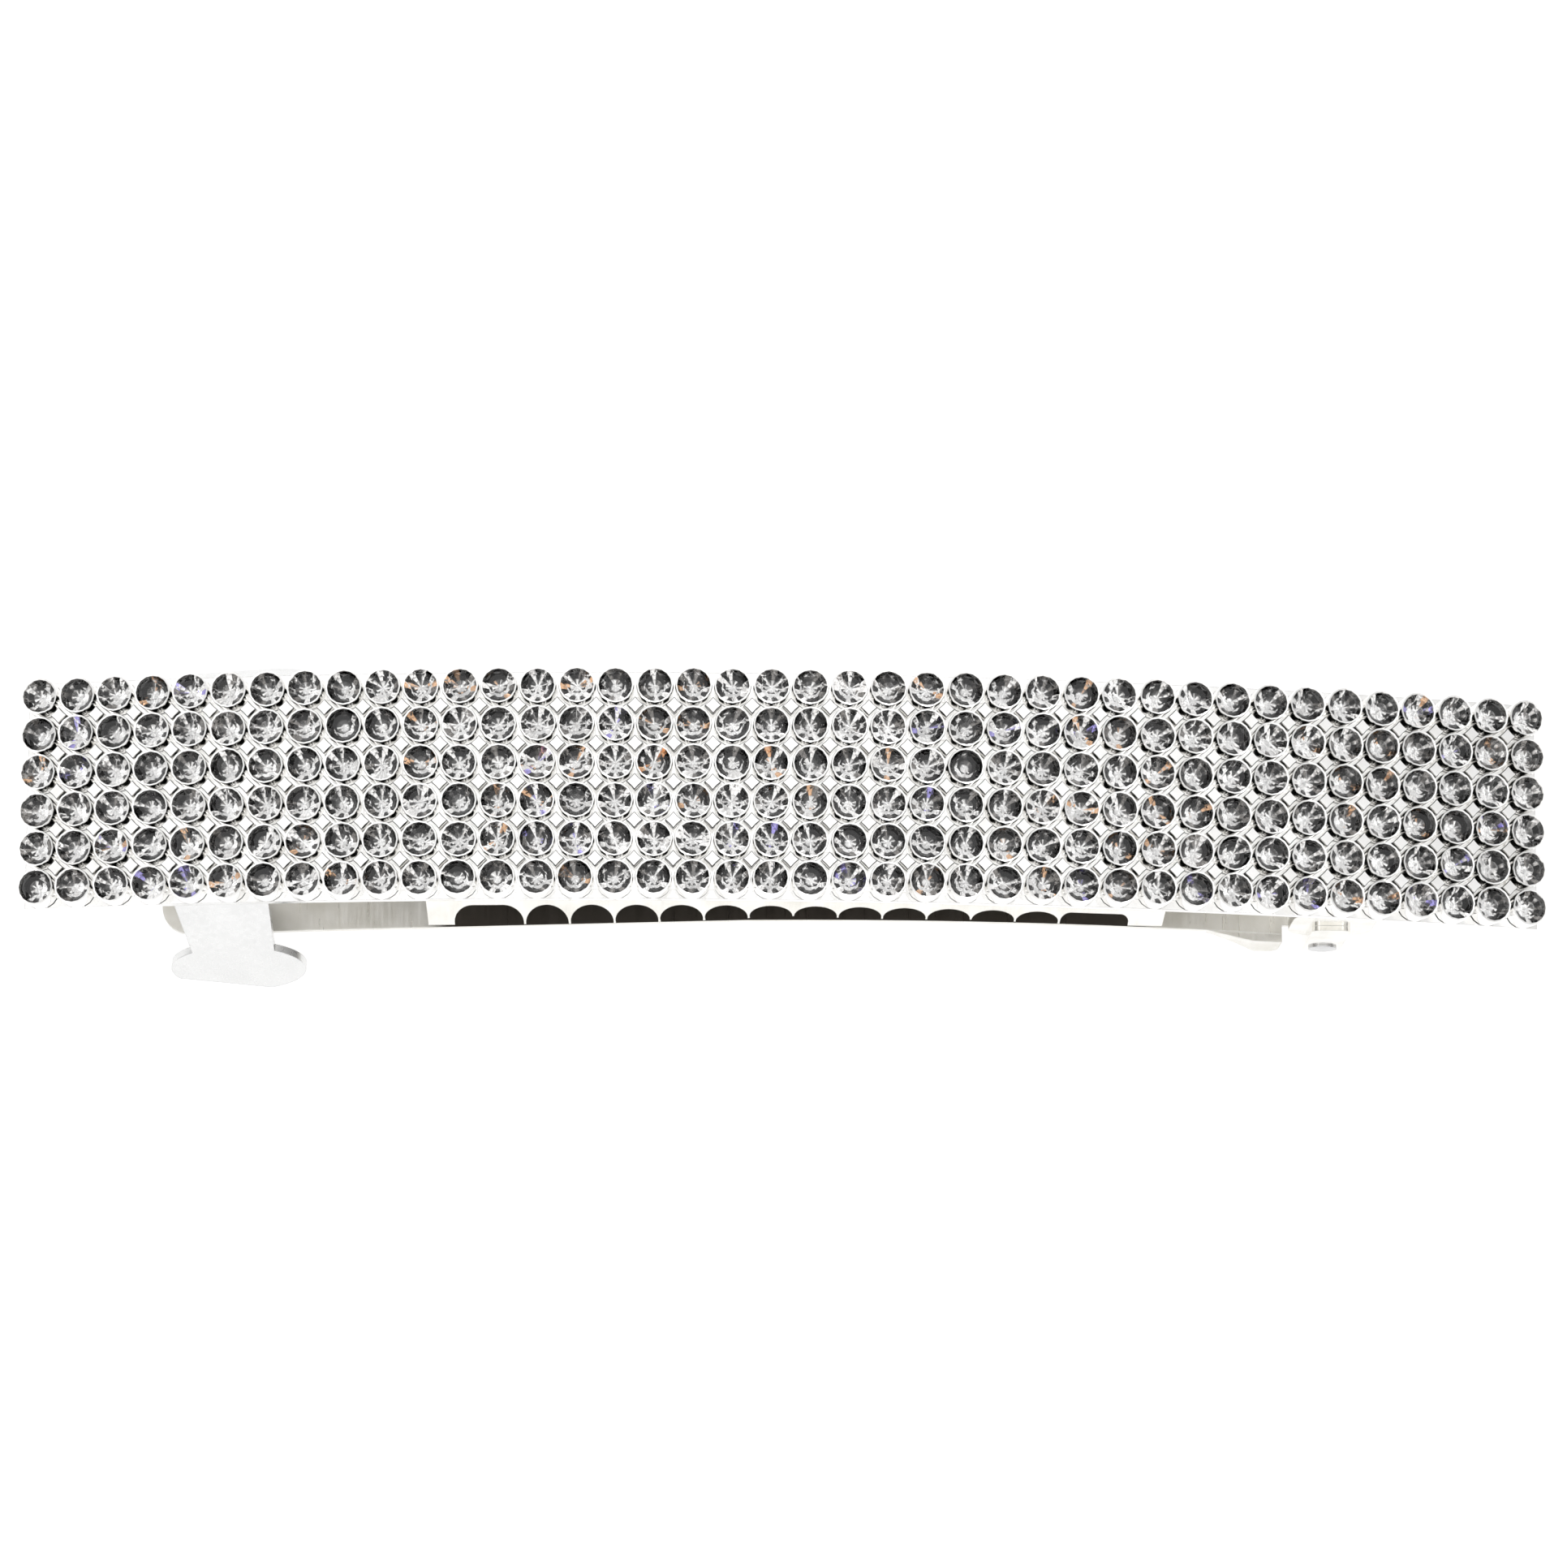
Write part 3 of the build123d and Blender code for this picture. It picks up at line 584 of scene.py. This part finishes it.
@dataclass
class Bezel:
    """One round cup with a rolled lip that holds a stone."""

    radius: float = 1.10 * MM
    roll_radius: float = 1.10 * MM
    lip_crest: float = 1.08 * MM
    lip_opening: float = 0.985 * MM
    lip_top: float = -0.16 * MM
    lip_shoulder: float = -0.22 * MM
    bore: float = 1.03 * MM
    seat: float = -1.28 * MM
    back: float = -1.41 * MM
    facets: int = 16

    def surface(self) -> tuple[np.ndarray, list[tuple[int, ...]]]:
        """Turn the cup's profile about its axis.

        The profile runs up the wall, over the rolled lip and down the bore to the seat;
        point (i, j) is profile point i at angle j.

        Returns:
            The points and the faces.
        """
        profile = np.array(
            [
                (self.radius, self.back),
                (self.roll_radius, self.lip_shoulder),
                (self.lip_crest, self.lip_top),
                (self.lip_opening, self.lip_top - 0.02 * MM),
                (self.bore, self.seat),
            ]
        )
        angle = np.arange(self.facets) * math.tau / self.facets
        x = profile[:, :1] * np.cos(angle)
        y = profile[:, :1] * np.sin(angle)
        z = np.repeat(profile[:, 1:], self.facets, axis=1)
        points = np.stack([x, y, z], axis=-1).reshape(-1, 3)
        faces = [tuple(quad) for quad in grid_faces(len(profile), self.facets).tolist()]
        last = (len(profile) - 1) * self.facets
        faces.append(tuple(reversed(range(self.facets))))
        faces.append(tuple(last + j for j in range(self.facets)))
        return points, faces


@dataclass
class Pip:
    """One small post of the plate that stands between four cups."""

    corner: float = 0.50 * MM
    side: float = 0.33 * MM
    foot: float = 1.15
    top: float = -0.42 * MM
    shoulder: float = -0.50 * MM
    bottom: float = -1.52 * MM

    def surface(self) -> tuple[np.ndarray, list[tuple[int, ...]]]:
        """Carry a diamond with hollow sides up the post.

        Ring i is the diamond scaled for its height; its eight points alternate between
        the corners and the middles of the sides.

        Returns:
            The points and the faces.
        """
        reach = np.where(np.arange(8) % 2 == 0, self.corner, self.side)
        angle = np.arange(8) * math.tau / 8
        rings = ((self.foot, self.bottom), (1.0, self.shoulder), (0.88, self.top))
        x, y = reach * np.cos(angle), reach * np.sin(angle)
        points = [np.stack([scale * x, scale * y, np.full(8, height)], axis=1) for scale, height in rings]
        faces = [tuple(quad) for quad in grid_faces(3, 8).tolist()]
        faces.append(tuple(reversed(range(8))))
        faces.append(tuple(range(16, 24)))
        return np.concatenate(points), faces


@dataclass
class JewelledFace:
    """Rows of stones and bezels, which stand for the plain CAD rows."""

    seats: StoneField = field(default_factory=StoneField)
    chaton: Chaton = field(default_factory=Chaton)
    bezel: Bezel = field(default_factory=Bezel)
    pip: Pip = field(default_factory=Pip)
    link_width: float = 1.0 * MM
    link_depth: tuple[float, float] = (1.31 * MM, 1.49 * MM)
    link_steps: int = 48

    def build(
        self, crystal: bpy.types.Material, foil: bpy.types.Material, silver: bpy.types.Material
    ) -> None:
        """Build and dress every row.

        Args:
            crystal: Glass of the stones' crowns.
            foil: Mirror foil of their backs.
            silver: Plate of the cups.
        """
        for row in range(self.seats.rows):
            self.stones(row, crystal, foil)
            self.cups(row, silver)
        self.pips(silver)

    def stones(self, row: int, crystal: bpy.types.Material, foil: bpy.types.Material) -> None:
        """Build one row of stones.

        Args:
            row: Row number, from the back edge.
            crystal: Glass of the crowns.
            foil: Mirror foil of the backs.
        """
        points, facets, kinds = self.chaton.surface()
        all_points, all_facets = repeated(points, facets, self.seats.clocked_seats(row))
        all_kinds = np.tile(kinds, self.seats.columns)
        made = mesh_object(f"cut_stones_{row + 1}", all_points, all_facets, np.minimum(all_kinds, 1))
        # Painted reflection tone of each facet, kept as a face attribute.
        tint = made.data.attributes.new("facet_painted_reflection", "FLOAT_COLOR", "FACE")
        tint.data.foreach_set("color", self.chaton.painted_reflection_tones(all_kinds, row).ravel())
        made.data.materials.append(crystal)
        made.data.materials.append(foil)
        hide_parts(f"stone_row_{row + 1}")
        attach(made, "bar")
        log.info("stones of row %d: %d facets", row + 1, len(all_facets))

    def cups(self, row: int, silver: bpy.types.Material) -> None:
        """Build one row of cups and the link strip under them.

        Args:
            row: Row number, from the back edge.
            silver: Plate of the cups.
        """
        points, faces = self.bezel.surface()
        all_points, all_faces = repeated(points, faces, self.seats.seats(row))
        strip_points, strip_faces = self.link(row)
        strip = [tuple(number + len(all_points) for number in face) for face in strip_faces]
        whole = np.concatenate([all_points, strip_points])
        made = mesh_object(f"bezel_cups_{row + 1}", whole, all_faces + strip, smooth=True)
        made.data.set_sharp_from_angle(angle=math.radians(50))
        made.data.materials.append(silver)
        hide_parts(f"cup_row_{row + 1}")
        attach(made, "bar")
        log.info("cups of row %d: %d faces", row + 1, len(made.data.polygons))

    def pips(self, silver: bpy.types.Material) -> None:
        """Build the posts between the cups.

        Args:
            silver: Plate of the posts.
        """
        points, faces = repeated(*self.pip.surface(), self.seats.gaps())
        made = mesh_object("plate_pips", points, faces)
        made.data.materials.append(silver)
        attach(made, "bar")
        log.info("posts between the cups: %d faces", len(faces))

    def link(self, row: int) -> tuple[np.ndarray, list[tuple[int, ...]]]:
        """Work out the strip that links a row of cups: a rectangle carried round the bend.

        Args:
            row: Row number, from the back edge.

        Returns:
            The points and the faces.
        """
        reach = (self.seats.columns / 2 * self.seats.pitch - self.bezel.radius) / self.seats.bend_radius
        angle = np.linspace(-reach, reach, self.link_steps)[:, None]
        across = ((self.seats.rows - 1) / 2 - row) * self.seats.pitch
        front, back = self.link_depth
        depth = np.array([front, front, back, back])
        side = np.array([-0.5, 0.5, 0.5, -0.5]) * self.link_width + across
        radius = self.seats.bend_radius - depth
        x = radius * np.sin(angle)
        y = np.broadcast_to(side, x.shape)
        z = self.seats.crest - self.seats.bend_radius + radius * np.cos(angle)
        points = np.stack([x, y, z], axis=-1).reshape(-1, 3)
        faces = [tuple(quad) for quad in grid_faces(self.link_steps, 4).tolist()]
        last = 4 * (self.link_steps - 1)
        faces.append((3, 2, 1, 0))
        faces.append((last, last + 1, last + 2, last + 3))
        return points, faces


# ------------------------------------------------------------------- plate and clasp


@dataclass
class Clasp:
    """The CAD pieces behind the stones, each with its own finish."""

    polished: PlatedSheet = PlatedSheet(Metal.SILVER_PLATE, (0.10, 0.24), 2.0 * MM, 0.01 * MM)
    mirror: PlatedSheet = PlatedSheet(Metal.BRIGHT_NICKEL, (0.10, 0.22), 3.0 * MM, 0.03 * MM, (2.0, 0.2, 0.2))
    drawn: PlatedSheet = PlatedSheet(
        Metal.BRIGHT_NICKEL,
        (0.26, 0.44),
        3.0 * MM,
        0.02 * MM,
        (2.0, 0.1, 0.1),
        metallic=0.7,
        shaded_span=(-21.2 * MM, 22.4 * MM),
    )
    satin: PlatedSheet = PlatedSheet(Metal.SATIN_NICKEL, (0.22, 0.36), 2.5 * MM, 0.01 * MM)
    spring: PlatedSheet = PlatedSheet(Metal.SPRING_STEEL, (0.12, 0.30), 4.0 * MM, 0.01 * MM, (0.05, 1, 1))
    glue: CuredGlue = CuredGlue()

    def dress(self) -> None:
        """Give each CAD piece its material."""
        wear = {
            "backing_plate": self.polished.material("polished_plate"),
            "adhesive_bed": self.glue.material("cured_glue"),
            "clip_base": self.mirror.material("mirror_base"),
            "closing_arm": self.drawn.material("drawn_arm"),
            "catch_saddle": self.mirror.material("mirror_saddle"),
            "catch_wing_front": self.satin.material("satin_wing_front"),
            "catch_wing_rear": self.satin.material("satin_wing_rear"),
            "catch_hook_front": self.satin.material("satin_hook_front"),
            "catch_hook_rear": self.satin.material("satin_hook_rear"),
            "bow_spring": self.spring.material("spring_strip"),
            "bow_foot": self.spring.material("spring_foot"),
            "hinge_pin": self.spring.material("peened_pin"),
            "catch_rivet": self.spring.material("catch_rivet_steel"),
            "bow_rivet": self.spring.material("bow_rivet_steel"),
        }
        for node, material in wear.items():
            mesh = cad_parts[node].data
            mesh.materials.clear()
            mesh.materials.append(material)
            log.info("dressed %s in %s", node, material.name)


# ---------------------------------------------------------------------------- studio


@dataclass
class Studio:
    """Pale floor, soft light that fades to one side, and the camera."""

    floor_reach: float = 3.0
    paper: float = 0.40
    paper_glow: float = 0.78
    lens: float = 186.0
    distance: float = 474.95 * MM
    lean: float = math.radians(12.15)
    swing: float = math.radians(2.92)
    roll: float = math.radians(-0.20)
    aim: tuple[float, float] = (0.458 * MM, 0.181 * MM)
    light_reach: float = 1.4
    softboxes: tuple[tuple[float, float, float, float], ...] = (
        (-60, 48, 0.35, 0.9),
        (55, 58, 0.25, 0.4),
        (165, 52, 0.30, 0.6),
        (0, 28, 0.50, 0.35),
    )
    across_tones: tuple[tuple[float, float], ...] = (
        (0.0, 0.6),
        (0.3, 1.0),
        (0.56, 1.0),
        (0.68, 0.9),
        (0.82, 0.7),
    )
    rise_tones: tuple[tuple[float, float], ...] = ((0.5, 0.22), (0.58, 0.35), (0.68, 1.05), (1.0, 1.3))

    def build(self, crest: float) -> None:
        """Set up floor, sky, softboxes and camera.

        Args:
            crest: Height of the stones' tables at the middle of the bar.
        """
        self.floor()
        self.sky()
        for number, (azimuth, elevation, size, power) in enumerate(self.softboxes):
            self.softbox(f"softbox_{number + 1}", math.radians(azimuth), math.radians(elevation), size, power)
        self.camera(crest)

    def floor(self) -> None:
        """Lay a plain pale sheet of paper under the clip."""
        corners = np.array([(-1, -1, 0), (1, -1, 0), (1, 1, 0), (-1, 1, 0)]) * self.floor_reach
        sheet = mesh_object("floor", corners, [(0, 1, 2, 3)])
        bench = NodeBench("paper")
        bench.shader.inputs["Base Color"].default_value = (self.paper, self.paper, self.paper, 1)
        bench.shader.inputs["Roughness"].default_value = 0.9
        bench.shader.inputs["Emission Color"].default_value = (1, 1, 1, 1)
        bench.shader.inputs["Emission Strength"].default_value = self.paper_glow
        sheet.data.materials.append(bench.material)

    def tones(
        self, tree: bpy.types.NodeTree, value: bpy.types.NodeSocket, stops: tuple[tuple[float, float], ...]
    ) -> bpy.types.NodeSocket:
        """Turn one part of the sky's direction into a grey tone.

        Args:
            tree: The sky's node tree.
            value: Part of the direction, from -1 to 1.
            stops: Place from 0 to 1, and tone, of each stop.

        Returns:
            The tone.
        """
        spread = tree.nodes.new("ShaderNodeMapRange")
        spread.inputs["From Min"].default_value = -1.0
        tree.links.new(value, spread.inputs["Value"])
        ramp = tree.nodes.new("ShaderNodeValToRGB")
        elements = ramp.color_ramp.elements
        while len(elements) < len(stops):
            elements.new(0.5)
        for element, (place, tone) in zip(elements, stops):
            element.position = place
            element.color = (tone, tone, tone, 1)
        tree.links.new(spread.outputs["Result"], ramp.inputs["Fac"])
        return ramp.outputs["Color"]

    def sky(self) -> None:
        """Light the clip from above, fading to the right and towards the horizon."""
        world = bpy.data.worlds.new("studio")
        bpy.context.scene.world = world
        world.use_nodes = True
        tree = world.node_tree
        place = tree.nodes.new("ShaderNodeTexCoord")
        parts = tree.nodes.new("ShaderNodeSeparateXYZ")
        tree.links.new(place.outputs["Generated"], parts.inputs["Vector"])
        across = self.tones(tree, parts.outputs["X"], self.across_tones)
        rise = self.tones(tree, parts.outputs["Z"], self.rise_tones)
        both = tree.nodes.new("ShaderNodeMix")
        both.data_type = "RGBA"
        both.blend_type = "MULTIPLY"
        both.inputs["Factor"].default_value = 1.0
        tree.links.new(across, both.inputs[6])
        tree.links.new(rise, both.inputs[7])
        seen = tree.nodes.new("ShaderNodeLightPath")
        backdrop = tree.nodes.new("ShaderNodeMix")
        backdrop.data_type = "RGBA"
        backdrop.inputs[7].default_value = (1.0, 1.0, 1.0, 1)
        tree.links.new(seen.outputs["Is Camera Ray"], backdrop.inputs["Factor"])
        tree.links.new(both.outputs[2], backdrop.inputs[6])
        tree.links.new(backdrop.outputs[2], tree.nodes["Background"].inputs["Color"])

    def softbox(self, name: str, azimuth: float, elevation: float, size: float, power: float) -> None:
        """Hang a square softbox that faces the clip.

        Args:
            name: Name of the light.
            azimuth: Where it stands round the clip, from -Y towards +X, in radians.
            elevation: Height above the horizon in radians.
            size: Side of the square in metres.
            power: Power in watts.
        """
        light = bpy.data.lights.new(name, "AREA")
        light.size = size
        light.energy = power
        lamp = bpy.data.objects.new(name, light)
        level = math.cos(elevation)
        towards = Vector((math.sin(azimuth) * level, -math.cos(azimuth) * level, math.sin(elevation)))
        lamp.location = towards * self.light_reach
        lamp.rotation_mode = "QUATERNION"
        lamp.rotation_quaternion = towards.to_track_quat("Z", "Y")
        bpy.context.collection.objects.link(lamp)

    def camera(self, crest: float) -> None:
        """Stand the camera above the face, leaned towards its front edge.

        The view is a turn about the view's upright (swing), a lean back about the bar and
        a small roll; the aim is where the crest's middle falls beside the view's axis.

        Args:
            crest: Height of the stones' tables at the middle of the bar.
        """
        roll = Matrix.Rotation(-self.roll, 3, "Y")
        lean = Matrix.Rotation(-self.lean, 3, "X")
        swing = Matrix.Rotation(self.swing, 3, "Z")
        turn = roll @ lean @ swing
        to_clip = Matrix(((1, 0, 0), (0, 0, 1), (0, -1, 0)))
        right, forward, up = (to_clip @ turn[k] for k in range(3))
        to_crest = right * self.aim[0] + forward * self.distance + up * self.aim[1]
        centre = Vector((0, 0, crest)) - to_crest
        camera = bpy.data.cameras.new("camera")
        camera.lens = self.lens
        camera.sensor_width = 36
        camera.clip_start = 0.01
        camera.clip_end = 20
        stand = bpy.data.objects.new("camera", camera)
        axes = Matrix((right, up, -forward)).transposed()
        stand.matrix_world = Matrix.Translation(centre) @ axes.to_4x4()
        bpy.context.collection.objects.link(stand)
        bpy.context.scene.camera = stand


def main() -> None:
    """Build the face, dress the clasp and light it."""
    logging.basicConfig(level=logging.INFO, format="%(message)s")
    face = JewelledFace()
    bezel_plate = PlatedSheet(Metal.SILVER_PLATE, (0.04, 0.12), 0.8 * MM, 0.004 * MM, rounding=0.0)
    face.build(
        CutCrystal().material("cut_crystal"),
        StoneFoil().material("stone_foil"),
        bezel_plate.material("bezel_silver"),
    )
    Clasp().dress()
    Studio().build(face.seats.crest)
    bpy.context.scene.view_settings.view_transform = "Standard"
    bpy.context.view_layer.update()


if __name__ == "__main__":
    main()
